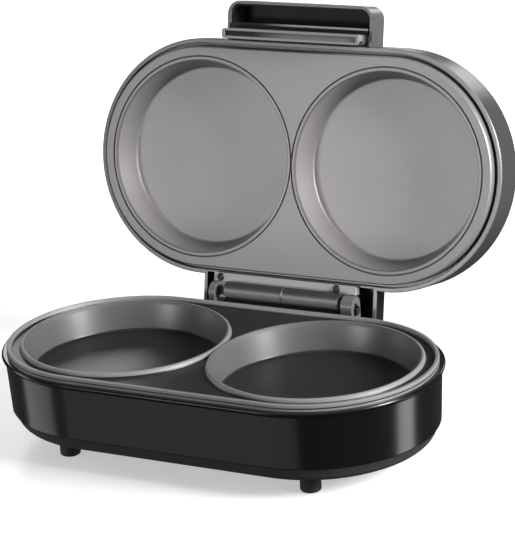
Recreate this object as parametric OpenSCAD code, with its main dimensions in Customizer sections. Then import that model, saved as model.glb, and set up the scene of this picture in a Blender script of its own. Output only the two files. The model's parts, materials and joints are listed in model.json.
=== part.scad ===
// Two-well round griddle: a stadium-shaped base and a hinged lid, each with a cast plate.
// +X runs along the length, the front faces -Y, the hinge is at the back, +Z is up.
// The origin is on the plane of the feet, under the middle of the base. The lid is drawn open.

/* [Plan] */
// Distance from the middle to each well's centre
well_offset = 66; // [64:0.5:68]
// Radius of the base flange's round ends
flange_r = 78.2; // [77.8:0.1:79]

/* [Base] */
// Height of the lower plate's rim above the table
rim_z = 63; // [61:0.5:66]
// Height of the joint between housing and bottom cover
seam_z = 22.2; // [21:0.2:24]
// Height of the bottom cover's flat floor
floor_z = 12; // [10:0.5:13]
// Wall thickness of the moulded housings
wall = 2.4; // [2:0.1:2.8]
// Distance of the feet from the middle, along X
foot_x = 83; // [78:1:88]
// Distance of the front feet from the middle, along Y
foot_front_y = 48.8; // [47:0.2:52]
// Distance of the rear feet from the middle, along Y
foot_back_y = 52; // [50:1:55]

/* [Plates] */
// Radius of a lower well at its ring
lower_well_r = 64; // [62:0.2:64.4]
// Radius of a lower well's flat floor
lower_floor_r = 59; // [56:0.5:60]
// Depth of a lower well below the rim
lower_depth = 18.4; // [15:0.2:19]
// Radius of an upper well at its edge
upper_well_r = 63.2; // [62:0.2:64]
// Radius of an upper well's flat floor
upper_floor_r = 58.2; // [56:0.2:59]
// Depth of an upper well below the plate's face
upper_depth = 18; // [15:0.5:19]
// Thickness of the lower casting
lower_cast = 3.2; // [2.6:0.1:3.4]
// Thickness of the upper casting
upper_cast = 2.2; // [2:0.1:2.6]

/* [Lid] */
// Radius of the lid shell's round ends at its rim
lid_r = 77.2; // [77:0.1:77.6]
// Depth of the lid shell behind its rim
lid_depth = 32; // [32:0.5:34]
// Height of the upper plate's face in front of the lid's rim
plate_proud = 4; // [3.6:0.1:4.2]
// Backward lean of the open lid, in degrees past upright
lid_lean = 12.2; // [5:0.1:15]

/* [Hinge] */
// Distance of the hinge rod behind the middle of the base
hinge_y = 89.8; // [89.4:0.1:90.4]
// Height of the hinge rod
hinge_z = 60.7; // [60.4:0.1:61]
// Diameter of the hinge rod
rod_d = 4; // [3.6:0.1:4.4]

/* [Handle] */
// Width of the handle hood
handle_w = 103; // [102:0.2:104]
// Reach of the handle's end from the middle of the lid
handle_reach = 102.6; // [100:0.2:106]
// Depth of the handle hood behind the lid's rim
handle_depth = 20.6; // [19:0.2:22]
// Length of the latch bar
latch_w = 96.8; // [92:0.2:97.4]

/* [Hidden] */
$fn = 96;
eps = 0.01;
gap = 0.3;
screw_clear = 0.1;

// Heights and radii of the base
flange_low = rim_z - 6.3;
flange_high = rim_z - 3.9;
bead_r = (flange_high - flange_low) / 2;
housing_top_r = flange_r - 2;
housing_low_r = flange_r - 3.6;
plate_r = flange_r - 3.6;
valley_z = rim_z - 2.6;
crest_z = rim_z + 0.2;
skirt_z = rim_z - 7;
lower_floor_z = rim_z - lower_depth;
shelf_z = skirt_z - 0.1;
ledge_z = rim_z - 19.7;
shield_floor_z = 28;
shield_t = 0.8;
element_r = 3.3;
element_track_r = 42;
lower_tube_z = lower_floor_z - lower_cast - element_r - 0.1;
boss_y = 60;
boss_r = 4;
screw_r = 1.5;
strap_t = 1.4;
strap_len = 17;
strap_boss_y = 32.5;

// The lid's rim plane when shut, and the lid's own frame: X, Y to the handle, Z out of the plate
shut_z = rim_z + plate_proud + 0.5;
lid_hinge_v = -hinge_y;
lid_hinge_q = shut_z - hinge_z;
upper_face_r = 72;
groove_in_r = 72.3;
groove_out_r = 74.2;
upper_floor_q = plate_proud - upper_depth;
upper_tube_q = upper_floor_q - upper_cast - element_r - 0.1;
upper_shield_q = -27.4;

// Hinge layout along X
barrel_left_x = -40.8;
barrel_right_x = 40.5;
barrel_split_x = 0.9;
barrel_r = 5.4;
barrel_v = lid_hinge_v + 4.9;
barrel_q = lid_hinge_q + 1.1;
left_ear_x = -51.6;
left_ear_w = 4.2;
right_ear_x = 43.6;
right_ear_w = 7.8;
ear_half = 6.6;
ear_crown_z = hinge_z + 2.75;
ear_foot_z = 45;
slot_top_z = hinge_z + 3;
rod_left_x = -53.6;
rod_right_x = 53.4;
rod_play = 0.05;
hood_half_w = 62.3;
hood_wall = 2.2;
hood_depth = 12.4;
hood_end_v = -97;
hood_top_v = -75.6;
cover_left_x = -53;
cover_right_x = 49.2;
cover_low_v = -80.6;
cover_high_v = -75;
cover_q = 3.8;
cover_t = 1.4;
cover_screw_x = [-48.2, 35.6];
cover_screw_v = -77.7;

// Fixings and fittings
cover_boss_r = 58.9;
boss_top_z = 27.4;
foot_r = 6.4;
foot_seat_z = 6;
leg_x = 12;
thermostat_y = -38;
fuse_y = 37;
block_y = 22;
gland_z = 33;
gland_r = 5.8;
gland_in_y = 69.6;
gland_out_y = 77.6;
cord_hole_r = 3.6;
ear_back_y = housing_top_r + 0.15;
ear_plate_top = 55.2;
ear_screw_y = housing_top_r;
ear_screw_z = 48.6;
lens_x = [-12, 12];
lens_v = 30;
lens_r = 3.8;
ring_groove_r = upper_well_r + 2.5;

// Handle and latch layout
handle_wall = 1.8;
handle_corner = 8.5;
handle_root_v = lid_r + 0.1;
latch_low_v = 78.6;
latch_high_v = 85;
latch_face_q = 13.4;
latch_back_q = -6.4;
latch_pin_v = 81.8;
latch_pin_q = -3;
latch_pin_r = 1.5;
lip_t = 1.7;
lip_reach = 2.4;
latch_round = 1.8;
pin_half = handle_w / 2 - 0.8;
liner_t = 1.2;
liner_root_v = 86.5;
liner_mouth_q = -2.4;

// An arc of points around (cx, cy)
function arc(cx, cy, r, a0, a1, steps) =
    [for (i = [0 : steps])
        [cx + r * cos(a0 + (a1 - a0) * i / steps), cy + r * sin(a0 + (a1 - a0) * i / steps)]];

// A section of (distance from the spine, height) carried round a stadium
module stadium_sweep(half, section) {
    for (side = [1, -1])
        translate([side * half, 0, 0])
            rotate([0, 0, -90 * side])
                rotate_extrude(angle = 180)
                    polygon(section);
    for (side = [0, 1])
        mirror([0, side, 0])
            translate([-half, 0, 0])
                rotate([90, 0, 90])
                    linear_extrude(2 * half)
                        polygon(section);
}

// Children at both wells' centres
module at_wells() {
    for (side = [1, -1])
        translate([side * well_offset, 0, 0])
            children();
}

// Moves the lid's own frame to where the open lid stands
module on_lid() {
    translate([0, hinge_y, hinge_z])
        rotate([90 - lid_lean, 0, 0])
            translate([0, -lid_hinge_v, -lid_hinge_q])
                children();
}

// A horizontal rod along X
module rod_x(x0, x1, r) {
    translate([x0, 0, 0])
        rotate([0, 90, 0])
            cylinder(r = r, h = x1 - x0);
}

// A pan-head screw whose head is on +Z, with a cross recess
module screw(head_r, head_h, shank_r, length) {
    difference() {
        union() {
            cylinder(r1 = head_r, r2 = head_r * 0.78, h = head_h);
            translate([0, 0, -length])
                cylinder(r = shank_r, h = length + eps);
        }
        for (turn = [45, 135])
            translate([0, 0, head_h])
                rotate([0, 0, turn])
                    cube([head_r * 1.25, head_r * 0.28, head_h], center = true);
    }
}

// A straight run of tube
module tube_run(a, b, r) {
    run = b - a;
    length = norm(run);
    translate(a)
        rotate([0, acos(run[2] / length), atan2(run[1], run[0])])
            cylinder(r = r, h = length, $fn = 20);
}

// A tube along points, with ball elbows
module tube_path(points, r) {
    for (i = [0 : len(points) - 2])
        tube_run(points[i], points[i + 1], r);
    for (i = [1 : len(points) - 2])
        translate(points[i])
            sphere(r = r, $fn = 20);
}

// A racetrack heater tube with two legs at the back
module heater_tube(z, leg_x, leg_drop) {
    for (side = [1, -1])
        translate([side * well_offset, 0, z])
            rotate([0, 0, -90 * side])
                rotate_extrude(angle = 180)
                    translate([element_track_r, 0])
                        circle(element_r);
    translate([0, -element_track_r, z])
        rod_x(-well_offset, well_offset, element_r);
    for (side = [1, -1]) {
        translate([0, element_track_r, z])
            rod_x(min(side * leg_x, side * well_offset), max(side * leg_x, side * well_offset), element_r);
        translate([side * leg_x, element_track_r, z]) {
            sphere(r = element_r);
            translate([0, 0, -leg_drop])
                cylinder(r = element_r, h = leg_drop);
            translate([0, 0, -leg_drop - 6])
                cylinder(r = 1.2, h = 6 + eps);
        }
    }
}

// Straps that hold a heater tube under its plate; z is the tube's centre
module straps(z) {
    for (x = [-well_offset, well_offset])
        for (side = [1, -1])
            mirror([0, side < 0 ? 1 : 0, 0])
                translate([x - 6, strap_boss_y - 5, z - element_r - strap_t - 0.1])
                    difference() {
                        cube([12, strap_len, strap_t]);
                        translate([6, 5, -eps])
                            cylinder(r = screw_r + screw_clear, h = strap_t + 2 * eps);
                    }
}

module strap_screws(z) {
    for (x = [-well_offset, well_offset])
        for (side = [1, -1])
            translate([x, side * strap_boss_y, z - element_r - strap_t - 0.1])
                mirror([0, 0, 1])
                    screw(2.8, 1.6, screw_r, 6);
}

// Bosses under a plate: two long ones between the wells and four for the straps
module plate_bosses(underside_z, well_z, tube_z, shield_z) {
    for (side = [1, -1])
        translate([0, side * boss_y, shield_z])
            cylinder(r = boss_r, h = underside_z - shield_z);
    for (x = [-well_offset, well_offset])
        for (side = [1, -1])
            translate([x, side * strap_boss_y, tube_z - element_r])
                cylinder(r = boss_r, h = well_z - tube_z + element_r + eps);
}

module plate_boss_holes(tube_z, shield_z) {
    for (side = [1, -1])
        translate([0, side * boss_y, shield_z - eps])
            cylinder(r = screw_r + screw_clear, h = 12);
    for (x = [-well_offset, well_offset])
        for (side = [1, -1])
            translate([x, side * strap_boss_y, tube_z - element_r - eps])
                cylinder(r = screw_r + screw_clear, h = 5);
}

// Section of a well's inside, with a soft corner at the floor
function well_section(top_r, floor_r, open_h, top_h, floor_h) =
    concat([[0, open_h], [top_r, open_h], [top_r, top_h]],
           arc(floor_r - 1.2, floor_h + 1.6, 1.6, -14, -90, 4),
           [[0, floor_h]]);

// A pan behind a heater: floor_h is the underside of its floor, lip_h the underside of its lip
module shield_pan(floor_h, lip_h) {
    difference() {
        stadium_sweep(well_offset,
            [[0, floor_h], [65, floor_h], [67, floor_h + 2], [67, lip_h], [72.6, lip_h],
             [72.6, lip_h + shield_t], [67 - shield_t, lip_h + shield_t],
             [67 - shield_t, floor_h + 2.4], [64.7, floor_h + shield_t], [0, floor_h + shield_t]]);
        for (side = [1, -1])
            translate([0, side * boss_y, floor_h - eps])
                cylinder(r = screw_r + screw_clear, h = shield_t + 2 * eps);
        for (side = [1, -1])
            translate([side * leg_x, element_track_r, floor_h - eps])
                cylinder(r = element_r + 1, h = shield_t + 2 * eps);
        translate([0, -20, floor_h - eps])
            cylinder(r = 5, h = shield_t + 2 * eps);
    }
}

module shield_screws(floor_h) {
    for (side = [1, -1])
        translate([0, side * boss_y, floor_h])
            mirror([0, 0, 1])
                screw(2.8, 1.6, screw_r, 9);
}

// A small tube-shaped fuse in its saddle, under a plate
module fuse(underside_z) {
    translate([0, fuse_y, underside_z - 2.7])
        rod_x(-6, 6, 2.2);
    translate([-2, fuse_y - 4, underside_z - 5.6])
        cube([4, 8, 0.7]);
    for (side = [-1, 1])
        translate([-2, fuse_y - 0.4 + side * 3, underside_z - 5])
            cube([4, 0.8, 4.8]);
}

module base_housing() {
    color([0.07, 0.07, 0.08])
        difference() {
            union() {
                stadium_sweep(well_offset, concat(
                    [[housing_low_r - 0.6, seam_z], [housing_low_r, seam_z + 0.8],
                     [housing_top_r, flange_low - 1.2], [housing_top_r + 0.5, flange_low]],
                    arc(flange_r - bead_r, flange_low + bead_r, bead_r, -90, 90, 8),
                    [[plate_r + gap, flange_high], [plate_r + gap, shelf_z], [plate_r - wall, shelf_z],
                     [plate_r - wall, shelf_z - 2], [housing_top_r - wall, shelf_z - 5],
                     [housing_low_r - wall + 1.2, ledge_z + 2.6], [housing_low_r - wall - 1.2, ledge_z + 2.6],
                     [housing_low_r - wall - 1.2, ledge_z], [housing_low_r - wall + 1, ledge_z],
                     [housing_low_r - wall, seam_z]]));
                at_cover_bosses() {
                    translate([0, 0, floor_z + 2.1])
                        cylinder(r = boss_r, h = boss_top_z - floor_z - 2.1);
                    translate([2, -1, seam_z])
                        cube([housing_low_r - cover_boss_r - 2.6, 2, boss_top_z - seam_z]);
                }
            }
            at_cover_bosses()
                translate([0, 0, floor_z])
                    cylinder(r = screw_r + screw_clear, h = 12.4);
            at_ear_screws()
                translate([0, 0, -8])
                    cylinder(r = screw_r + screw_clear, h = 16);
            translate([0, 60, gland_z])
                rotate([-90, 0, 0])
                    cylinder(r = gland_r + 0.1, h = 20);
        }
}

// Children at the four screw bosses, with X pointing away from the spine's end
module at_cover_bosses() {
    for (side = [1, -1])
        for (turn = [-35, 35])
            translate([side * well_offset, 0, 0])
                rotate([0, 0, (side > 0 ? 0 : 180) + turn])
                    translate([cover_boss_r, 0, 0])
                        children();
}

// Children at the ear screws on the rear wall, with Z pointing out of the wall
module at_ear_screws() {
    for (ear = [[left_ear_x, left_ear_w], [right_ear_x, right_ear_w]])
        for (dx = [-2.2, ear[1] + 2.2])
            translate([ear[0] + dx, ear_screw_y, ear_screw_z])
                rotate([-90, 0, 0])
                    children();
}

// Children at the four feet
module at_feet() {
    for (side = [1, -1])
        for (y = [-foot_front_y, foot_back_y])
            translate([side * foot_x, y, 0])
                children();
}

module bottom_cover() {
    color([0.27, 0.27, 0.27])
        difference() {
            union() {
                stadium_sweep(well_offset, concat(
                    [[0, floor_z]],
                    arc(63, floor_z + 9.4, 9.4, -90, -18, 7),
                    [[housing_low_r - 0.6, seam_z - 0.05], [housing_low_r - wall - 0.6, seam_z - 0.05],
                     [70, floor_z + 6.6], [66.6, floor_z + 3], [63, floor_z + 2], [0, floor_z + 2]]));
                at_feet()
                    translate([0, 0, floor_z + 1.9])
                        cylinder(r = boss_r, h = 4.6);
            }
            at_feet()
                translate([0, 0, floor_z - eps])
                    cylinder(r = screw_r + screw_clear, h = 5.4);
            at_cover_bosses()
                translate([0, 0, floor_z - eps])
                    cylinder(r = screw_r + screw_clear, h = 3);
            for (i = [-3 : 3])
                translate([i * 8 - 1.5, -14, floor_z - eps])
                    cube([3, 28, 3]);
        }
}

module rubber_feet() {
    color([0.12, 0.12, 0.12])
        at_feet()
            difference() {
                rotate_extrude()
                    polygon(concat([[0, 0]], arc(foot_r - 1.6, 1.6, 1.6, -90, 0, 5),
                                   [[foot_r, floor_z - 0.05], [0, floor_z - 0.05]]));
                translate([0, 0, -eps])
                    cylinder(r = 3.3, h = foot_seat_z);
                cylinder(r = screw_r + screw_clear, h = floor_z);
            }
}

module foot_screws() {
    color([0.7, 0.7, 0.72])
        at_feet()
            translate([0, 0, foot_seat_z - 0.05])
                mirror([0, 0, 1])
                    screw(2.9, 1.8, screw_r, 11);
}

module cover_screws() {
    color([0.7, 0.7, 0.72])
        at_cover_bosses()
            translate([0, 0, floor_z - 0.05])
                mirror([0, 0, 1])
                    screw(2.8, 1.6, screw_r, 12);
}

module lower_plate() {
    underside_z = valley_z - lower_cast;
    color([0.3, 0.29, 0.29])
        difference() {
            union() {
                stadium_sweep(well_offset,
                    [[0, valley_z], [plate_r - 3, valley_z], [plate_r - 2, rim_z], [plate_r - 0.4, rim_z],
                     [plate_r, rim_z - 0.4], [plate_r, skirt_z], [plate_r - 2, skirt_z],
                     [plate_r - 2.6, underside_z], [0, underside_z]]);
                at_wells()
                    rotate_extrude()
                        polygon([[0, crest_z], [lower_well_r + 1.2, crest_z], [lower_well_r + 2, rim_z - 0.5],
                                 [lower_well_r + 2.8, valley_z], [lower_well_r + 2.8, underside_z + 0.5],
                                 [lower_floor_r + lower_cast, lower_floor_z],
                                 [lower_floor_r + 1, lower_floor_z - lower_cast],
                                 [0, lower_floor_z - lower_cast]]);
                plate_bosses(underside_z + eps, lower_floor_z - lower_cast, lower_tube_z,
                             shield_floor_z + shield_t + 0.1);
            }
            at_wells()
                rotate_extrude()
                    polygon(well_section(lower_well_r, lower_floor_r, crest_z + 5, crest_z - 0.2,
                                         lower_floor_z));
            plate_boss_holes(lower_tube_z, shield_floor_z + shield_t + 0.1);
        }
}

module lower_heating_element() {
    color([0.35, 0.34, 0.34])
        heater_tube(lower_tube_z, leg_x, 14);
}

module lower_element_clamps() {
    color([0.62, 0.62, 0.64])
        straps(lower_tube_z);
}

module lower_clamp_screws() {
    color([0.7, 0.7, 0.72])
        strap_screws(lower_tube_z);
}

module lower_heat_shield() {
    color([0.72, 0.72, 0.74])
        shield_pan(shield_floor_z, ledge_z - shield_t - 0.1);
}

module lower_shield_screws() {
    color([0.7, 0.7, 0.72])
        shield_screws(shield_floor_z - 0.05);
}

module thermostat() {
    underside_z = valley_z - lower_cast;
    color([0.85, 0.83, 0.78])
        translate([0, thermostat_y, underside_z - 9.2]) {
            cylinder(r = 7.4, h = 9.1);
            translate([-2, -2, -3])
                cube([4, 4, 3 + eps]);
        }
}

module lower_thermal_fuse() {
    color([0.8, 0.8, 0.82])
        fuse(valley_z - lower_cast);
}

module terminal_block() {
    color([0.9, 0.9, 0.86])
        difference() {
            translate([-17, block_y, floor_z + 2.05])
                cube([34, 14, 12]);
            for (x = [-12, -4, 4, 12])
                translate([x, block_y + 7, floor_z + 8])
                    cylinder(r = 1.8, h = 8);
        }
}

module cord_gland() {
    color([0.05, 0.05, 0.05])
        difference() {
            translate([0, 0, gland_z])
                rotate([-90, 0, 0])
                    rotate_extrude()
                        polygon([[0, gland_in_y], [7.8, gland_in_y], [7.8, 71.6], [gland_r, 71.6],
                                 [gland_r, 75.7], [8.2, 75.7], [7.4, gland_out_y], [0, gland_out_y]]);
            translate([0, gland_in_y - 1, gland_z])
                rotate([-90, 0, 0])
                    cylinder(r = cord_hole_r, h = gland_out_y - gland_in_y + 2);
        }
}

module lower_wires() {
    color([0.75, 0.75, 0.72]) {
        for (side = [1, -1])
            tube_run([side * leg_x, block_y + 14.05, 22], [side * leg_x, element_track_r - 1.25, 22], 1);
        for (x = [-1.6, 1.6])
            tube_path([[x, block_y - 0.1, 23], [x, -20, 23], [x, -20, 42], [x, -35.5, 46.5]], 1);
    }
}

// One hinge ear from x, w wide: an arched plate with an upright slot, on a foot behind the rear wall
module hinge_ear(x, w) {
    difference() {
        union() {
            translate([0, hinge_y, ear_crown_z])
                rod_x(x, x + w, ear_half);
            translate([x, hinge_y - ear_half, ear_foot_z])
                cube([w, 2 * ear_half, ear_crown_z - ear_foot_z]);
            translate([x, ear_back_y, ear_foot_z])
                cube([w, hinge_y - ear_half - ear_back_y + eps, ear_plate_top - ear_foot_z]);
            translate([x - 5, ear_back_y, ear_foot_z])
                cube([w + 10, 3.8, ear_plate_top - ear_foot_z]);
        }
        translate([0, hinge_y, hinge_z])
            rod_x(x - 1, x + w + 1, rod_d / 2 + rod_play);
        translate([0, hinge_y, slot_top_z])
            rod_x(x - 1, x + w + 1, rod_d / 2 + rod_play);
        translate([x - 1, hinge_y - rod_d / 2 - rod_play, hinge_z])
            cube([w + 2, rod_d + 2 * rod_play, slot_top_z - hinge_z]);
        at_ear_screws()
            cylinder(r = screw_r + screw_clear, h = 5.2);
    }
}

module left_hinge_ear() {
    color([0.42, 0.41, 0.41])
        hinge_ear(left_ear_x, left_ear_w);
}

module right_hinge_ear() {
    color([0.42, 0.41, 0.41])
        hinge_ear(right_ear_x, right_ear_w);
}

module hinge_ear_screws() {
    color([0.7, 0.7, 0.72])
        at_ear_screws()
            translate([0, 0, -2.95])
                mirror([0, 0, 1])
                    screw(2.3, 1.4, screw_r, 6.9);
}

module hinge_rod() {
    color([0.8, 0.8, 0.82])
        translate([0, hinge_y, hinge_z])
            rod_x(rod_left_x, rod_right_x, rod_d / 2);
}

module rod_clips() {
    color([0.8, 0.8, 0.82])
        for (x = [left_ear_x - 1.1, right_ear_x + right_ear_w + 0.3])
            difference() {
                translate([0, hinge_y, hinge_z])
                    rod_x(x, x + 0.8, 3.4);
                translate([0, hinge_y, hinge_z])
                    rod_x(x - 1, x + 2, rod_d / 2 + rod_play);
                translate([x - 1, hinge_y - 1.2, hinge_z - 4])
                    cube([3, 2.4, 4]);
            }
}

module lid_shell() {
    inner_r = lid_r - 3.7;
    back_r = lid_r - 0.1;
    color([0.36, 0.35, 0.35])
        on_lid()
            difference() {
                union() {
                    stadium_sweep(well_offset, concat(
                        [[groove_out_r, -0.4], [groove_out_r + 0.4, 0], [lid_r - 0.6, 0], [lid_r, -0.6]],
                        arc(back_r - 8, 8 - lid_depth, 8, 0, -90, 8),
                        [[40, -lid_depth - 0.6], [0, -lid_depth - 0.8], [0, -lid_depth + 1.6]],
                        arc(back_r - 8, 8 - lid_depth, 8 - wall, -90, 0, 6),
                        [[inner_r, -5.4], [upper_face_r - 1.6, -5.4], [upper_face_r - 1.6, -3.2],
                         [groove_out_r, -3.2]]));
                    translate([-hood_half_w, hood_end_v, -hood_depth])
                        cube([2 * hood_half_w, hood_top_v - hood_end_v, hood_wall]);
                    for (side = [1, -1])
                        translate([side * (hood_half_w - hood_wall / 2) - hood_wall / 2, hood_end_v,
                                   -hood_depth])
                            cube([hood_wall, hood_top_v - hood_end_v, hood_depth]);
                }
                translate([-hood_half_w + hood_wall, hood_end_v - 1, hood_wall - hood_depth])
                    cube([2 * (hood_half_w - hood_wall), hood_top_v - hood_end_v + 1, hood_depth]);
                for (x = lens_x)
                    translate([x, lens_v, -lid_depth - 2])
                        cylinder(r = lens_r + 0.1, h = 5);
                at_handle_screws()
                    translate([0, 0, -6])
                        cylinder(r = screw_r + screw_clear, h = 8);
            }
    color([0.36, 0.35, 0.35])
        on_lid()
            for (x = cover_screw_x)
                difference() {
                    translate([x, cover_screw_v, -hood_depth + 0.5])
                        cylinder(r = 3.3, h = hood_depth - 0.6);
                    translate([x, cover_screw_v, -7])
                        cylinder(r = screw_r + screw_clear, h = 8);
                }
}

module upper_plate() {
    underside_q = plate_proud - upper_cast;
    color([0.57, 0.56, 0.56])
        on_lid()
            difference() {
                union() {
                    stadium_sweep(well_offset,
                        [[0, plate_proud], [upper_face_r - 0.8, plate_proud],
                         [upper_face_r, plate_proud - 0.8], [groove_in_r, -3.1],
                         [groove_in_r - 1.8, -3.1], [groove_in_r - 2.4, underside_q],
                         [0, underside_q]]);
                    at_wells()
                        rotate_extrude()
                            polygon([[0, plate_proud - 1], [upper_well_r + 4, plate_proud - 1],
                                     [upper_well_r + 4, underside_q - 0.8],
                                     [upper_well_r + 1.6, underside_q - 0.8],
                                     [upper_floor_r + upper_cast, upper_floor_q],
                                     [upper_floor_r + 1, upper_floor_q - upper_cast],
                                     [0, upper_floor_q - upper_cast]]);
                    plate_bosses(underside_q + eps, upper_floor_q - upper_cast, upper_tube_q,
                                 upper_shield_q + shield_t + 0.1);
                }
                at_wells()
                    rotate_extrude()
                        polygon(well_section(upper_well_r, upper_floor_r, plate_proud + 5, plate_proud,
                                             upper_floor_q));
                at_wells()
                    rotate_extrude()
                        polygon([[ring_groove_r - 0.7, plate_proud + 1],
                                 [ring_groove_r - 0.4, plate_proud - 0.9],
                                 [ring_groove_r + 0.4, plate_proud - 0.9],
                                 [ring_groove_r + 0.7, plate_proud + 1]]);
                plate_boss_holes(upper_tube_q, upper_shield_q + shield_t + 0.1);
            }
}

module upper_heating_element() {
    color([0.35, 0.34, 0.34])
        on_lid()
            mirror([0, 1, 0])
                heater_tube(upper_tube_q, leg_x, 3.2);
}

module upper_element_clamps() {
    color([0.62, 0.62, 0.64])
        on_lid()
            straps(upper_tube_q);
}

module upper_clamp_screws() {
    color([0.7, 0.7, 0.72])
        on_lid()
            strap_screws(upper_tube_q);
}

module upper_heat_shield() {
    color([0.72, 0.72, 0.74])
        on_lid()
            mirror([0, 1, 0])
                shield_pan(upper_shield_q, -5.4 - shield_t - 0.1);
}

module upper_shield_screws() {
    color([0.7, 0.7, 0.72])
        on_lid()
            shield_screws(upper_shield_q - 0.05);
}

module upper_thermal_fuse() {
    color([0.8, 0.8, 0.82])
        on_lid()
            fuse(plate_proud - upper_cast);
}

module upper_wires() {
    color([0.75, 0.75, 0.72])
        on_lid()
            for (i = [0, 1])
                tube_run([lens_x[i], -element_track_r + 1.4, upper_shield_q - 1.2],
                         [lens_x[i], lens_v - 2.4, upper_shield_q - 1.2], 0.9);
}

// Half of the hinge barrel: a round bar with a bore for the rod and a tongue under the cover
module hinge_barrel(x0, x1) {
    on_lid()
        difference() {
            union() {
                translate([0, barrel_v, barrel_q])
                    rod_x(x0, x1, barrel_r);
                translate([0, lid_hinge_v, lid_hinge_q])
                    rod_x(x0, x1, 3.4);
                translate([x0, lid_hinge_v, lid_hinge_q - 3.4])
                    cube([x1 - x0, 5, 6.8]);
                translate([x0, barrel_v - 0.6, 0.4])
                    cube([x1 - x0, cover_low_v - barrel_v + 0.5, 5]);
                translate([x0, cover_low_v - 0.6, 0])
                    cube([x1 - x0, cover_high_v - cover_low_v + 0.2, cover_q - cover_t - 0.1]);
            }
            translate([0, lid_hinge_v, lid_hinge_q])
                rod_x(x0 - 1, x1 + 1, rod_d / 2 + rod_play);
            for (x = cover_screw_x)
                translate([x, cover_screw_v, -1])
                    cylinder(r = screw_r + screw_clear, h = 5);
        }
}

module left_hinge_barrel() {
    color([0.5, 0.49, 0.49])
        hinge_barrel(barrel_left_x, barrel_split_x - 0.1);
}

module right_hinge_barrel() {
    color([0.5, 0.49, 0.49])
        hinge_barrel(barrel_split_x + 0.1, barrel_right_x);
}

module hinge_cover() {
    color([0.57, 0.56, 0.56])
        on_lid()
            difference() {
                union() {
                    translate([cover_left_x, cover_low_v, cover_q - cover_t])
                        cube([cover_right_x - cover_left_x, cover_high_v - cover_low_v, cover_t]);
                    for (x = [cover_left_x, cover_right_x - cover_t])
                        translate([x, cover_low_v, -2.2])
                            cube([cover_t, cover_high_v - 0.7 - cover_low_v, cover_q + 2.2 - eps]);
                }
                for (x = cover_screw_x)
                    translate([x, cover_screw_v, 0])
                        cylinder(r = screw_r + screw_clear, h = 8);
            }
}

module hinge_cover_screws() {
    color([0.6, 0.6, 0.6])
        on_lid()
            for (x = cover_screw_x)
                translate([x, cover_screw_v, cover_q + 0.05])
                    screw(2.6, 1, screw_r, 9);
}

// A slab with two round far corners and a rounded back edge, in the lid's frame
module hood_slab(half_w, root_v, end_v, corner, edge, back_q, mouth_q) {
    far = end_v - corner;
    translate([0, 0, back_q + edge])
        linear_extrude(mouth_q - back_q - edge)
            hood_outline(half_w, root_v, end_v, corner);
    translate([0, 0, back_q])
        linear_extrude(edge + eps)
            hood_outline(half_w - edge, root_v, end_v - edge, corner - edge);
    translate([0, end_v - edge, back_q + edge])
        rod_x(corner - half_w, half_w - corner, edge);
    for (side = [1, -1]) {
        translate([side * (half_w - edge), root_v, back_q + edge])
            rotate([-90, 0, 0])
                cylinder(r = edge, h = far - root_v);
        translate([side * (half_w - corner), far, back_q + edge])
            rotate_extrude()
                translate([corner - edge, 0])
                    intersection() {
                        circle(edge);
                        translate([0, -edge])
                            square([edge, 2 * edge]);
                    }
    }
}

module hood_outline(half_w, root_v, end_v, corner) {
    translate([-half_w, root_v])
        square([2 * half_w, end_v - corner - root_v]);
    translate([corner - half_w, root_v])
        square([2 * (half_w - corner), end_v - root_v]);
    for (side = [1, -1])
        translate([side * (half_w - corner), end_v - corner])
            circle(corner);
}

// Children at the handle screws, with Z pointing out of the lid's front wall
module at_handle_screws() {
    for (x = [-34, 34])
        translate([x, handle_root_v, -14])
            rotate([-90, 0, 0])
                children();
}

module handle_hood() {
    color([0.45, 0.44, 0.44])
        on_lid()
            difference() {
                union() {
                    difference() {
                        hood_slab(handle_w / 2, handle_root_v, handle_reach, handle_corner, 3.4,
                                  -handle_depth, 0);
                        translate([0, 0, handle_wall - handle_depth])
                            linear_extrude(handle_depth)
                                hood_outline(handle_w / 2 - handle_wall, handle_root_v - 1,
                                             handle_reach - handle_wall, handle_corner - handle_wall);
                    }
                    translate([-handle_w / 2 + 1, handle_root_v, 0.5 - handle_depth])
                        cube([handle_w - 2, 6, handle_depth - 9]);
                }
                at_handle_screws()
                    translate([0, 0, -1])
                        cylinder(r = screw_r + screw_clear, h = 6);
                translate([0, latch_pin_v, latch_pin_q])
                    rod_x(-pin_half - 0.1, pin_half + 0.1, latch_pin_r + rod_play);
            }
}

module handle_liner() {
    outer_half = handle_w / 2 - handle_wall - 0.1;
    outer_end = handle_reach - handle_wall - 0.1;
    corner = handle_corner - handle_wall - 0.1;
    floor_q = handle_wall + 0.1 - handle_depth;
    color([0.1, 0.1, 0.1])
        on_lid()
            difference() {
                translate([0, 0, floor_q])
                    linear_extrude(liner_mouth_q - floor_q)
                        hood_outline(outer_half, liner_root_v, outer_end, corner);
                translate([0, 0, floor_q + liner_t])
                    linear_extrude(handle_depth)
                        hood_outline(outer_half - liner_t, liner_root_v - 1, outer_end - liner_t,
                                     corner - liner_t);
            }
}

module handle_screws() {
    color([0.7, 0.7, 0.72])
        on_lid()
            at_handle_screws()
                translate([0, 0, -3.5])
                    mirror([0, 0, 1])
                        screw(2.8, 1.6, screw_r, 8);
}

module lens(i) {
    on_lid()
        translate([lens_x[i], lens_v, 0])
            rotate_extrude()
                polygon([[0, -lid_depth - 1.6], [lens_r - 1.2, -lid_depth - 1.6], [lens_r, -lid_depth - 0.6],
                         [lens_r, -lid_depth + 2], [0, -lid_depth + 2]]);
}

module power_lens() {
    color([0.7, 0.08, 0.06])
        lens(0);
}

module ready_lens() {
    color([0.1, 0.6, 0.2])
        lens(1);
}

module indicator_lamps() {
    color([0.9, 0.7, 0.5])
        on_lid()
            for (x = lens_x)
                translate([x, lens_v, -lid_depth + 2.1])
                    cylinder(r = 2.2, h = 2.2);
}

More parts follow.
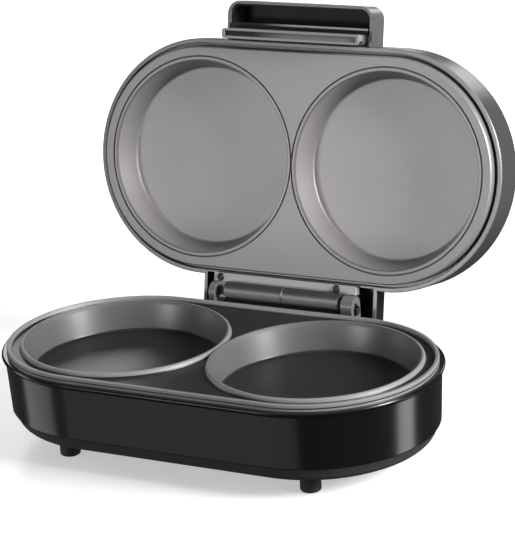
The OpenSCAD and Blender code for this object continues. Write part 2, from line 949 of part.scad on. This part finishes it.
module latch_pin() {
    color([0.8, 0.8, 0.82])
        on_lid()
            translate([0, latch_pin_v, latch_pin_q])
                rod_x(-pin_half, pin_half, latch_pin_r);
}

module latch_washers() {
    color([0.75, 0.75, 0.77])
        on_lid()
            for (side = [1, -1])
                translate([side * (latch_w / 2 + 0.65), latch_pin_v, latch_pin_q])
                    difference() {
                        rod_x(-0.3, 0.3, 3);
                        rod_x(-1, 1, latch_pin_r + 0.1);
                    }
}

module latch_bar() {
    half = latch_w / 2;
    height = latch_high_v - latch_low_v;
    color([0.5, 0.48, 0.49])
        on_lid()
            difference() {
                union() {
                    translate([0, 0, latch_back_q])
                        linear_extrude(latch_face_q - latch_back_q) {
                            translate([-half + latch_round, latch_low_v])
                                square([latch_w - 2 * latch_round, height]);
                            translate([-half, latch_low_v + latch_round])
                                square([latch_w, height - 2 * latch_round]);
                            for (side = [1, -1])
                                for (v = [latch_low_v + latch_round, latch_high_v - latch_round])
                                    translate([side * (half - latch_round), v])
                                        circle(latch_round);
                        }
                    translate([-half, latch_high_v - 1, -1.6])
                        cube([latch_w, 4.6, 2]);
                }
                translate([-half - 1, latch_low_v - 1, latch_face_q - lip_t - 6.2])
                    cube([latch_w + 2, lip_reach + 1, 6.2]);
                translate([-half + 2, latch_low_v + 1.6, latch_face_q - 1.2])
                    cube([latch_w - 4, height - 3, 2]);
                for (side = [1, -1])
                    for (q = [1.5 : 3 : 10.5])
                        translate([side * half - 0.4, latch_low_v - 1, q])
                            cube([0.8, height + 2, 1.3]);
                translate([0, latch_pin_v, latch_pin_q])
                    rod_x(-half - 1, half + 1, latch_pin_r + rod_play);
            }
}

base_housing();
bottom_cover();
rubber_feet();
foot_screws();
cover_screws();
lower_plate();
lower_heating_element();
lower_element_clamps();
lower_clamp_screws();
lower_heat_shield();
lower_shield_screws();
thermostat();
lower_thermal_fuse();
terminal_block();
cord_gland();
lower_wires();
left_hinge_ear();
right_hinge_ear();
hinge_ear_screws();
hinge_rod();
rod_clips();
lid_shell();
upper_plate();
upper_heating_element();
upper_element_clamps();
upper_clamp_screws();
upper_heat_shield();
upper_shield_screws();
upper_thermal_fuse();
upper_wires();
left_hinge_barrel();
right_hinge_barrel();
hinge_cover();
hinge_cover_screws();
handle_hood();
handle_liner();
handle_screws();
power_lens();
ready_lens();
indicator_lamps();
latch_pin();
latch_washers();
latch_bar();
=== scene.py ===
import json
import math

import bmesh
import bpy
from mathutils import Matrix, Vector


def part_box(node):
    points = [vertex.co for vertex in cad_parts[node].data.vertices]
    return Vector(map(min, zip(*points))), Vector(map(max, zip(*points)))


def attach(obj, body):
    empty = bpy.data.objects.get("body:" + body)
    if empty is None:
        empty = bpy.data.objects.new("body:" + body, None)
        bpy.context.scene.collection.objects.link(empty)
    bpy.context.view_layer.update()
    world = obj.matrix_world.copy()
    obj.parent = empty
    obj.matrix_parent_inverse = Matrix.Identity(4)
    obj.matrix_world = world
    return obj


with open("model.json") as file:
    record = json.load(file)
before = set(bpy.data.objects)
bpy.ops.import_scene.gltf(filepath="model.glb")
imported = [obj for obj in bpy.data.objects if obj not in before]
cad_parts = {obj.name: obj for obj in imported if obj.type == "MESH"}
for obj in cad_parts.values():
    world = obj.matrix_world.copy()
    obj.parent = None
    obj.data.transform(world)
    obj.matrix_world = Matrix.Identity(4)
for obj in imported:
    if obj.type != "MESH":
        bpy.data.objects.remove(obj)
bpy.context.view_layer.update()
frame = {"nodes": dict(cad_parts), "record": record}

NODES = frame["nodes"]
MM = 0.001
# The lower plate's rim; the rings round its wells stand 0.2 mm higher
RIM_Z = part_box("lower_plate")[1][2] - 0.2 * MM

# Sizes that the finishes follow, as the CAD has them
WELL_X = 66 * MM  # a well's axis from the middle
LOWER_WELL_R = 64 * MM
LOWER_DEPTH = 18.4 * MM  # the lower wells' floor below the rim
VALLEY_DEPTH = 2.6 * MM  # the lower plate's valley below the rim
UPPER_WELL_R = 63.2 * MM
UPPER_FLOOR_Q = -14 * MM
RING_GROOVE_R = 65.7 * MM  # the fine groove round an upper well
SHUT_ABOVE_RIM = 4.5 * MM  # the lid's rim plane above the lower plate's rim when shut
HOOD_TOP_V = -75.6 * MM  # the top of the shell's hood round the hinge
BARREL_UP, BARREL_OUT = 4.9 * MM, 1.1 * MM  # the barrel's axis from the rod's, in the lid's frame
BARREL_R = 5.4 * MM
LATCH_PANEL_Q = 12.2 * MM  # the floor of the panel sunk in the latch bar's face
LEDGE_END_V = 88.6 * MM  # the end of the latch bar's finger ledge

# ---------------------------------------------------------------- camera
AZIMUTH, ELEVATION, ROLL = 28.278, 18.690, -3.765  # degrees
DISTANCE = 1.48589
TARGET = Vector((-0.92 * MM, 58.69 * MM, RIM_Z + 30.25 * MM))
LENS = 156.97  # mm, on a 36 mm wide sensor


def direction(azimuth, elevation):
    """Unit vector out to azimuth degrees round from the front and elevation degrees up."""
    a, e = math.radians(azimuth), math.radians(elevation)
    return Vector((math.sin(a) * math.cos(e), -math.cos(a) * math.cos(e), math.sin(e)))


def make_camera():
    """The camera that looks at TARGET from DISTANCE metres out, rolled by ROLL."""
    data = bpy.data.cameras.new("camera")
    cam = bpy.data.objects.new("camera", data)
    bpy.context.scene.collection.objects.link(cam)
    back = direction(AZIMUTH, ELEVATION)
    a, roll = math.radians(AZIMUTH), math.radians(ROLL)
    level = Vector((math.cos(a), math.sin(a), 0))
    upright = level.cross(-back)
    right = level * math.cos(roll) + upright * math.sin(roll)
    up = upright * math.cos(roll) - level * math.sin(roll)
    place = Matrix((right, up, back)).transposed().to_4x4()
    place.translation = TARGET + back * DISTANCE
    cam.matrix_world = place
    data.lens = LENS
    data.sensor_width = 36
    data.clip_start, data.clip_end = 0.05, 60
    bpy.context.scene.camera = cam


make_camera()
bpy.context.scene.view_settings.view_transform = "Standard"
bpy.context.scene.view_settings.look = "None"


def lid_hinge():
    """The record's joint between base and lid."""
    return [j for j in frame["record"]["behaviour"]["joints"] if j["name"] == "lid_hinge"][0]


# ---------------------------------------------------------------- node helpers
class Tree:
    """A material's node tree with short calls for the nodes used here."""

    def __init__(self, name):
        self.mat = bpy.data.materials.new(name)
        self.mat.use_nodes = True
        self.t = self.mat.node_tree
        self.t.nodes.clear()
        self.out = self.t.nodes.new("ShaderNodeOutputMaterial")
        self.bsdf = self.t.nodes.new("ShaderNodeBsdfPrincipled")
        self.t.links.new(self.bsdf.outputs[0], self.out.inputs[0])
        self.coord = self.t.nodes.new("ShaderNodeTexCoord")

    def link(self, a, b):
        self.t.links.new(a, b)

    def put(self, value, socket):
        if hasattr(value, "is_output"):
            self.link(value, socket)
        else:
            socket.default_value = value

    def put_color(self, value, socket):
        self.put(value if hasattr(value, "is_output") else (*value, 1.0), socket)

    def math(self, op, a, b=0.0, c=0.0):
        n = self.t.nodes.new("ShaderNodeMath")
        n.operation = op
        for i, v in enumerate((a, b, c)):
            self.put(v, n.inputs[i])
        return n.outputs[0]

    def length(self, a, b):
        """The length of the vector with the components a and b."""
        squares = self.math("MULTIPLY", a, a), self.math("MULTIPLY", b, b)
        return self.math("SQRT", self.math("ADD", *squares))

    def step(self, value, low, high):
        """0 below low, 1 above high, smooth between."""
        n = self.t.nodes.new("ShaderNodeMapRange")
        n.interpolation_type = "SMOOTHSTEP"
        self.put(value, n.inputs[0])
        n.inputs[1].default_value, n.inputs[2].default_value = low, high
        n.inputs[3].default_value, n.inputs[4].default_value = 0.0, 1.0
        return n.outputs[0]

    def below(self, value, low, high):
        """1 below low, 0 above high, smooth between."""
        return self.math("SUBTRACT", 1.0, self.step(value, low, high))

    def band(self, value, low, high, soft):
        """1 between low and high, fading to 0 over soft on both sides."""
        above = self.step(value, low - soft, low)
        return self.math("MULTIPLY", above, self.below(value, high, high + soft))

    def mix(self, factor, a, b):
        n = self.t.nodes.new("ShaderNodeMix")
        n.data_type = "RGBA"
        self.put(factor, n.inputs[0])
        self.put_color(a, n.inputs[6])
        self.put_color(b, n.inputs[7])
        return n.outputs[2]

    def span(self, factor, low, high):
        """A number from low to high as factor goes from 0 to 1."""
        n = self.t.nodes.new("ShaderNodeMapRange")
        self.put(factor, n.inputs[0])
        n.inputs[3].default_value, n.inputs[4].default_value = low, high
        return n.outputs[0]

    def noise(self, scale, detail=2.0, rough=0.5, stretch=(1, 1, 1)):
        m = self.t.nodes.new("ShaderNodeMapping")
        m.inputs["Scale"].default_value = stretch
        self.link(self.coord.outputs["Object"], m.inputs["Vector"])
        n = self.t.nodes.new("ShaderNodeTexNoise")
        n.inputs["Scale"].default_value = scale
        n.inputs["Detail"].default_value = detail
        n.inputs["Roughness"].default_value = rough
        self.link(m.outputs[0], n.inputs["Vector"])
        return n.outputs["Fac"]

    def xyz(self):
        n = self.t.nodes.new("ShaderNodeSeparateXYZ")
        self.link(self.coord.outputs["Object"], n.inputs[0])
        return n.outputs

    def bump(self, height, distance):
        n = self.t.nodes.new("ShaderNodeBump")
        n.inputs["Strength"].default_value = 1.0
        n.inputs["Distance"].default_value = distance
        self.link(height, n.inputs["Height"])
        self.link(n.outputs[0], self.bsdf.inputs["Normal"])

    def look(self, color, rough, metallic=0.0, specular=0.5, coat=0.0, coat_rough=0.1):
        b = self.bsdf.inputs
        self.put_color(color, b["Base Color"])
        self.put(rough, b["Roughness"])
        b["Metallic"].default_value = metallic
        b["Specular IOR Level"].default_value = specular
        b["Coat Weight"].default_value = coat
        b["Coat Roughness"].default_value = coat_rough


def paint(names, mat):
    """Gives one material to every slot of the named CAD pieces."""
    for name in names.split():
        slots = NODES[name].data.materials
        if len(slots) == 0:
            slots.append(mat)
        for i in range(len(slots)):
            slots[i] = mat


# ---------------------------------------------------------------- plain finishes
def moulded(name, color, rough, specular=0.5, coat=0.0, coat_rough=0.1,
            grain=1400, depth=4e-6, sway=0.05):
    """Moulded plastic or paint: fine grain, and a little variation in gloss and tone."""
    t = Tree(name)
    fine = t.noise(grain, 2.0, 0.6)
    broad = t.noise(22, 3.0, 0.55)
    tone = t.mix(broad, tuple(c * 0.92 for c in color), tuple(c * 1.08 for c in color))
    t.look(tone, t.span(broad, rough - sway, rough + sway), 0.0, specular, coat, coat_rough)
    t.bump(fine, depth)
    return t.mat


def metal(name, color, rough, grain=(1, 1, 1)):
    """Plated or rolled steel: short drawn lines along one axis, with cloudy gloss."""
    t = Tree(name)
    lines = t.noise(900, 3.0, 0.7, grain)
    cloud = t.noise(60, 3.0, 0.6)
    tone = t.mix(cloud, tuple(c * 0.88 for c in color), color)
    t.look(tone, t.span(cloud, rough - 0.06, rough + 0.08), 1.0)
    t.bump(lines, 2e-6)
    return t.mat


# ---------------------------------------------------------------- the plates
def well_distance(t, across):
    """Distance from the nearer well's axis, with across as the second coordinate."""
    x = t.math("SUBTRACT", t.math("ABSOLUTE", t.xyz()[0]), WELL_X)
    return t.length(x, across)


def lid_axes(t):
    """The lid's own coordinates: v from the wells' centres to the handle, q out of the plate."""
    hinge = lid_hinge()
    _, hinge_y, hinge_z = hinge["pos_m"]
    turn = math.radians(180 - hinge["range_deg"][1])
    hinge_v = -hinge_y
    hinge_q = RIM_Z + SHUT_ABOVE_RIM - hinge_z
    _, y, z = t.xyz()
    dy, dz = t.math("SUBTRACT", y, hinge_y), t.math("SUBTRACT", z, hinge_z)
    along = t.math("MULTIPLY_ADD", dy, math.cos(turn), t.math("MULTIPLY", dz, math.sin(turn)))
    out = t.math("MULTIPLY_ADD", dy, -math.sin(turn), t.math("MULTIPLY", dz, math.cos(turn)))
    return t.math("ADD", along, hinge_v), t.math("ADD", out, hinge_q)


def lower_plate_finish():
    t = Tree("lower_plate_coating")
    _, y, z = t.xyz()
    r = well_distance(t, y)
    worn = t.noise(420, 4.0, 0.65)
    broad = t.noise(14, 2.0, 0.5)
    dark, rim, wall = (0.012, 0.0115, 0.012), (0.23, 0.226, 0.227), (0.1, 0.099, 0.1)
    valley_z, floor_z = RIM_Z - VALLEY_DEPTH, RIM_Z - LOWER_DEPTH
    raised = t.step(z, valley_z + 0.35 * MM, valley_z + 1.0 * MM)
    off_floor = t.step(z, floor_z + 0.8 * MM, floor_z + 1.6 * MM)
    inside = t.below(r, LOWER_WELL_R + 0.1 * MM, LOWER_WELL_R + 0.4 * MM)
    in_wall = t.math("MULTIPLY", off_floor, inside)
    low_skirt = t.band(z, RIM_Z - 9 * MM, RIM_Z - 2.9 * MM, 0.25 * MM)
    outside = t.step(r, LOWER_WELL_R + 2.9 * MM, LOWER_WELL_R + 3.2 * MM)
    skirt = t.math("MULTIPLY", outside, low_skirt)
    color = t.mix(t.math("MAXIMUM", raised, skirt), dark, rim)
    color = t.mix(in_wall, color, wall)
    color = t.mix(t.span(worn, 0.0, 0.05), color, (0.3, 0.3, 0.3))
    gloss = t.math("MULTIPLY_ADD", raised, 0.16, t.span(broad, 0.32, 0.40))
    t.look(color, gloss, 0.15, 0.4)
    t.bump(worn, 6e-6)
    return t.mat


def upper_plate_finish():
    t = Tree("upper_plate_coating")
    v, q = lid_axes(t)
    r = well_distance(t, v)
    worn = t.noise(420, 4.0, 0.65)
    broad = t.noise(12, 2.0, 0.5)
    color = t.mix(broad, (0.222, 0.211, 0.211), (0.252, 0.240, 0.239))
    well_floor = t.below(q, UPPER_FLOOR_Q + 0.4 * MM, UPPER_FLOOR_Q + 1.0 * MM)
    color = t.mix(well_floor, color, (0.29, 0.277, 0.276))
    # Painted shade: the plate's face is made darker towards the hinge.
    near_hinge = t.below(v, -74 * MM, -34 * MM)
    color = t.mix(t.math("MULTIPLY", near_hinge, 0.8), color, (0.175, 0.167, 0.167))
    on_face = t.step(q, 0.5 * MM, 1.5 * MM)
    # Painted shade: dark lines at the fine groove round each well and, fainter, at each well's
    # mouth.
    at_ring = t.band(r, RING_GROOVE_R - 0.4 * MM, RING_GROOVE_R + 0.4 * MM, 0.2 * MM)
    at_mouth = t.band(r, UPPER_WELL_R - 0.2 * MM, UPPER_WELL_R + 0.3 * MM, 0.25 * MM)
    groove_painted_shade = t.math("MULTIPLY", at_ring, on_face)
    mouth_painted_shade = t.math("MULTIPLY", at_mouth, on_face)
    lines = t.math("MAXIMUM", groove_painted_shade, t.math("MULTIPLY", mouth_painted_shade, 0.55))
    color = t.mix(lines, color, (0.02, 0.019, 0.019))
    t.look(color, t.span(broad, 0.38, 0.46), 0.25, 0.5)
    t.bump(worn, 6e-6)
    return t.mat


def shell_finish():
    """Satin grey shell; the hood around the hinge is painted near black as shade, but for its
    front edges.
    """
    t = Tree("lid_satin")
    v, q = lid_axes(t)
    fine, broad = t.noise(900, 2.0, 0.6), t.noise(22, 3.0, 0.55)
    tone = t.mix(broad, (0.047, 0.045, 0.046), (0.057, 0.0545, 0.055))
    # Painted shade: the shell is made darker towards the hinge.
    near_hinge = t.below(v, -60 * MM, -10 * MM)
    tone = t.mix(near_hinge, tone, (0.036, 0.0345, 0.035))
    lip = t.step(q, -0.9 * MM, -0.4 * MM)
    tone = t.mix(lip, tone, (0.17, 0.163, 0.163))
    # Painted shade: the hood round the hinge is made near black, as the shade in and around it.
    hood_painted_shade_region = t.step(v, HOOD_TOP_V - 0.8 * MM, HOOD_TOP_V - 1.8 * MM)
    hood = t.math("MULTIPLY", hood_painted_shade_region, t.math("SUBTRACT", 1.0, lip))
    tone = t.mix(hood, tone, (0.007, 0.0065, 0.0065))
    t.look(tone, t.span(broad, 0.28, 0.38), 0.0, 0.5, 0.2, 0.25)
    t.bump(fine, 3e-6)
    return t.mat


def barrel_finish():
    """Satin barrel with a paler band painted along its lower front as a highlight."""
    t = Tree("barrel_satin")
    v, _ = lid_axes(t)
    fine, broad = t.noise(900, 2.0, 0.6), t.noise(22, 3.0, 0.55)
    # Painted highlight: a paler band along the barrel's lower front, where light from below falls
    # on it.
    low_front = t.step(v, -81.5 * MM, -87.0 * MM)
    above_edge = t.step(v, -90.5 * MM, -88.6 * MM)
    painted_highlight = t.math("MULTIPLY", low_front, above_edge)
    tone = t.mix(painted_highlight, (0.035, 0.033, 0.033), (0.25, 0.24, 0.24))
    t.look(tone, t.span(broad, 0.30, 0.38), 0.0, 0.35)
    t.bump(fine, 3e-6)
    return t.mat


def latch_finish():
    """Satin bar whose sunk panel runs from near black at one end to warm grey at the other,
    painted as shade giving way to light; the parts behind its face are painted dark as shade,
    with a painted highlight on the ledge's tip towards the lit end.
    """
    t = Tree("latch_satin")
    v, q = lid_axes(t)
    fine, broad = t.noise(900, 2.0, 0.6), t.noise(22, 3.0, 0.55)
    edge = t.mix(broad, (0.27, 0.256, 0.26), (0.30, 0.284, 0.288))
    # Painted shade: the sunk panel goes from near black to warm grey along the bar, as shade
    # giving way to light.
    x = t.xyz()[0]
    along = t.step(x, -30 * MM, 0)
    panel = t.mix(along, (0.008, 0.0075, 0.0075), (0.19, 0.171, 0.177))
    at_panel = t.band(q, LATCH_PANEL_Q - 0.1 * MM, LATCH_PANEL_Q + 0.1 * MM, 0.2 * MM)
    tone = t.mix(at_panel, edge, panel)
    # Painted shade on the parts behind the bar's face, with a painted highlight on the ledge's
    # tip towards the lit end.
    behind = t.below(q, 1.0 * MM, 11.0 * MM)
    at_tip = t.step(v, LEDGE_END_V - 1.4 * MM, LEDGE_END_V - 1.0 * MM)
    back = t.mix(t.math("MULTIPLY", at_tip, along), (0.012, 0.011, 0.011), (0.33, 0.312, 0.317))
    tone = t.mix(behind, tone, back)
    t.look(tone, t.span(broad, 0.40, 0.48), 0.0, 0.15)
    t.bump(fine, 3e-6)
    return t.mat


paint("lower_plate", lower_plate_finish())
paint("upper_plate", upper_plate_finish())
paint("base_housing", moulded(
    "black_gloss", (0.0035, 0.0035, 0.0037), 0.2, grain=700, depth=1.5e-6, sway=0.02))
paint("bottom_cover", moulded("cover_paint", (0.038, 0.037, 0.037), 0.42, 0.35))
paint("rubber_feet", moulded(
    "foot_rubber", (0.018, 0.018, 0.018), 0.62, 0.3, grain=900, depth=1.2e-5))
paint("lid_shell", shell_finish())
paint("handle_hood", moulded(
    "hood_satin", (0.09, 0.086, 0.087), 0.34, coat=0.2, coat_rough=0.25, grain=900, depth=3e-6))
paint("handle_liner", moulded("liner_black", (0.009, 0.009, 0.009), 0.5, 0.2))
paint("latch_bar", latch_finish())
paint("left_hinge_ear right_hinge_ear", moulded("ear_satin", (0.125, 0.12, 0.12), 0.36, 0.45))
paint("left_hinge_barrel right_hinge_barrel", barrel_finish())
paint("hinge_cover", moulded("cover_satin", (0.33, 0.32, 0.32), 0.4, 0.5))
paint("cord_gland", moulded(
    "gland_black", (0.015, 0.015, 0.015), 0.5, 0.3, grain=900, depth=1.2e-5))
paint("thermostat", moulded("ceramic_cream", (0.75, 0.72, 0.62), 0.55, 0.4))
paint("terminal_block", moulded("terminal_ivory", (0.78, 0.76, 0.68), 0.5, 0.4))
paint("lower_wires upper_wires", moulded(
    "lead_sleeve", (0.6, 0.58, 0.52), 0.8, 0.2, grain=2500, depth=6e-5))
paint("lower_heating_element upper_heating_element",
      metal("heater_sheath", (0.16, 0.15, 0.145), 0.48))
paint("lower_heat_shield upper_heat_shield",
      metal("pan_sheet", (0.62, 0.62, 0.63), 0.34, (1, 12, 12)))
paint("lower_element_clamps upper_element_clamps latch_washers",
      metal("zinc_strip", (0.6, 0.6, 0.61), 0.36))
paint("lower_thermal_fuse upper_thermal_fuse", metal("fuse_can", (0.66, 0.66, 0.67), 0.3))
paint("latch_pin", metal("ground_rod", (0.72, 0.72, 0.73), 0.2, (1, 14, 14)))
paint("hinge_rod", metal("oiled_rod", (0.36, 0.35, 0.35), 0.34, (1, 14, 14)))
paint("hinge_cover_screws rod_clips", metal("black_oxide", (0.03, 0.029, 0.029), 0.42))
paint("foot_screws cover_screws lower_clamp_screws lower_shield_screws hinge_ear_screws "
      "upper_clamp_screws upper_shield_screws handle_screws",
      metal("screw_zinc", (0.5, 0.49, 0.49), 0.32))


def lens_finish(name, color):
    """Glossy tinted lens with fine facets."""
    t = Tree(name)
    facet = t.noise(300, 1.0, 0.4)
    t.look(t.mix(facet, tuple(c * 0.8 for c in color), color), 0.12, 0.0, 0.6, 0.5, 0.04)
    t.bump(facet, 2e-5)
    return t.mat


paint("power_lens", lens_finish("lens_red", (0.42, 0.012, 0.01)))
paint("ready_lens", lens_finish("lens_green", (0.015, 0.26, 0.05)))
paint("indicator_lamps", lens_finish("lamp_amber", (0.75, 0.5, 0.3)))


# ---------------------------------------------------------------- small pieces added to the CAD
def ring_mesh(name, radius, thick, width, centre):
    """A thin ring round X with a rounded outer face, closed on all sides."""
    steps = 48
    bm = bmesh.new()
    profile = [(-width / 2, radius - thick), (-width / 2, radius), (0, radius + thick / 3),
               (width / 2, radius), (width / 2, radius - thick)]
    turns = []
    for i in range(steps):
        a = 2 * math.pi * i / steps
        turns.append([bm.verts.new(centre + Vector((x, r * math.cos(a), r * math.sin(a))))
                      for x, r in profile])
    for i, here in enumerate(turns):
        after = turns[(i + 1) % steps]
        for j in range(len(profile)):
            k = (j + 1) % len(profile)
            bm.faces.new((here[j], here[k], after[k], after[j]))
    bmesh.ops.recalc_face_normals(bm, faces=bm.faces)
    mesh = bpy.data.meshes.new(name)
    bm.to_mesh(mesh)
    bm.free()
    piece = bpy.data.objects.new(name, mesh)
    bpy.context.scene.collection.objects.link(piece)
    return piece


def barrel_seam_ring():
    """The bright bearing ring that shows as a fine line where the two barrel halves meet."""
    left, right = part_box("left_hinge_barrel"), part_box("right_hinge_barrel")
    seam_x = (left[1][0] + right[0][0]) / 2
    hinge = lid_hinge()
    a = math.radians(hinge["range_deg"][1] - 90)
    along = Vector((0, math.sin(a), math.cos(a)))
    out = Vector((0, -math.cos(a), math.sin(a)))
    rod = Vector((seam_x, hinge["pos_m"][1], hinge["pos_m"][2]))
    centre = rod + along * BARREL_UP + out * BARREL_OUT
    ring = ring_mesh("barrel_seam_ring", BARREL_R + 0.05 * MM, 0.5 * MM, 0.5 * MM, centre)
    ring.data.materials.append(metal("seam_ring_steel", (0.5, 0.49, 0.49), 0.34, (14, 1, 1)))
    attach(ring, "lid")


barrel_seam_ring()


# ---------------------------------------------------------------- edges of the CAD pieces
def soften(names, width):
    """Rounds the hard edges of some CAD pieces a little."""
    for name in names.split():
        m = NODES[name].modifiers.new("soft_edge", "BEVEL")
        m.width = width
        m.segments = 2
        m.limit_method = "ANGLE"
        m.angle_limit = math.radians(35)
        m.use_clamp_overlap = True
        m.harden_normals = False


def even_out(name):
    """Joins the doubled points of a CAD mesh, then shades it evenly between its hard edges."""
    node = NODES[name]
    join = node.modifiers.new("join_points", "WELD")
    join.merge_threshold = 0.02 * MM
    split = node.modifiers.new("hard_edges", "EDGE_SPLIT")
    split.split_angle = math.radians(30)
    split.use_edge_sharp = False
    even = node.modifiers.new("even_normals", "WEIGHTED_NORMAL")
    even.keep_sharp = True


even_out("lid_shell")
soften("handle_hood latch_bar", 0.45 * MM)
soften("hinge_cover left_hinge_ear right_hinge_ear", 0.35 * MM)
soften("left_hinge_barrel right_hinge_barrel", 0.25 * MM)


# ---------------------------------------------------------------- stage
def make_floor():
    """A wide pale glowing sheet, a shade greyer close to the object than far from it: painted
    shade round the object.
    """
    mesh = bpy.data.meshes.new("floor")
    half = 14.0
    corners = [(-half, -half, 0), (half, -half, 0), (half, half, 0), (-half, half, 0)]
    mesh.from_pydata(corners, [], [(0, 1, 2, 3)])
    floor = bpy.data.objects.new("floor", mesh)
    bpy.context.scene.collection.objects.link(floor)
    t = Tree("floor_pale")
    speck = t.noise(40, 2.0, 0.5)
    x, y, _ = t.xyz()
    away = t.length(x, y)
    t.look(t.mix(speck, (0.62, 0.62, 0.625), (0.64, 0.64, 0.645)), 0.3, 0.0, 0.2)
    t.bsdf.inputs["Emission Color"].default_value = (1, 1, 1, 1)
    # Painted shade: the sheet glows less close to the object than far from it.
    t.put(t.span(t.step(away, 0.22, 0.9), 0.45, 1.0), t.bsdf.inputs["Emission Strength"])
    mesh.materials.append(t.mat)
    floor.visible_diffuse = False
    floor.visible_glossy = False
    floor.visible_shadow = False


def make_world():
    """White behind everything, but dim as a light."""
    world = bpy.data.worlds.new("studio")
    bpy.context.scene.world = world
    world.use_nodes = True
    n, link = world.node_tree.nodes, world.node_tree.links.new
    n.clear()
    out = n.new("ShaderNodeOutputWorld")
    path = n.new("ShaderNodeLightPath")
    seen = n.new("ShaderNodeBackground")
    light = n.new("ShaderNodeBackground")
    mix = n.new("ShaderNodeMixShader")
    for background, strength in ((seen, 1.0), (light, 0.07)):
        background.inputs["Color"].default_value = (1, 1, 1, 1)
        background.inputs["Strength"].default_value = strength
    link(path.outputs["Is Camera Ray"], mix.inputs[0])
    link(light.outputs[0], mix.inputs[1])
    link(seen.outputs[0], mix.inputs[2])
    link(mix.outputs[0], out.inputs[0])


def softbox(name, azimuth, height, reach, width, tall, power, aim=(0, 0.05, 0.1)):
    """A rectangular light reach metres out at azimuth degrees, turned to face aim."""
    data = bpy.data.lights.new(name, "AREA")
    data.shape = "RECTANGLE"
    data.size, data.size_y = width, tall
    data.energy = power
    lamp = bpy.data.objects.new(name, data)
    bpy.context.scene.collection.objects.link(lamp)
    a = math.radians(azimuth)
    lamp.location = (reach * math.sin(a), -reach * math.cos(a), height)
    lamp.rotation_mode = "QUATERNION"
    lamp.rotation_quaternion = (Vector(aim) - lamp.location).to_track_quat("-Z", "Y")


make_floor()
make_world()
softbox("key_right", 88, 0.72, 1.4, 0.45, 0.45, 42)
softbox("key_low", 82, 0.24, 1.4, 0.3, 0.3, 5)
softbox("fill_left", -22, 0.62, 1.7, 0.8, 0.7, 3)
softbox("fill_low", -24, 0.24, 1.7, 0.35, 0.25, 6.5)
softbox("strip_left", -80, 0.3, 1.3, 0.3, 0.6, 3)
softbox("top", 0, 1.5, 0.1, 1.2, 1.2, 3)
softbox("back_right", 176, 0.5, 1.3, 0.35, 0.3, 1.2)
softbox("back_left", -152, 0.5, 1.4, 0.7, 0.45, 3.6)
# Light thrown up from the pale table, which the housing's upright walls mirror
softbox("bounce_front", -15, -0.5, 1.2, 1.05, 0.4, 0.7, (0, -0.08, 0.04))
softbox("bounce_right", 111, -0.48, 1.1, 0.36, 0.35, 1.7, (0.1, 0, 0.04))
softbox("bounce_left", -68, -0.48, 1.2, 0.75, 0.4, 1.25, (-0.1, 0, 0.04))
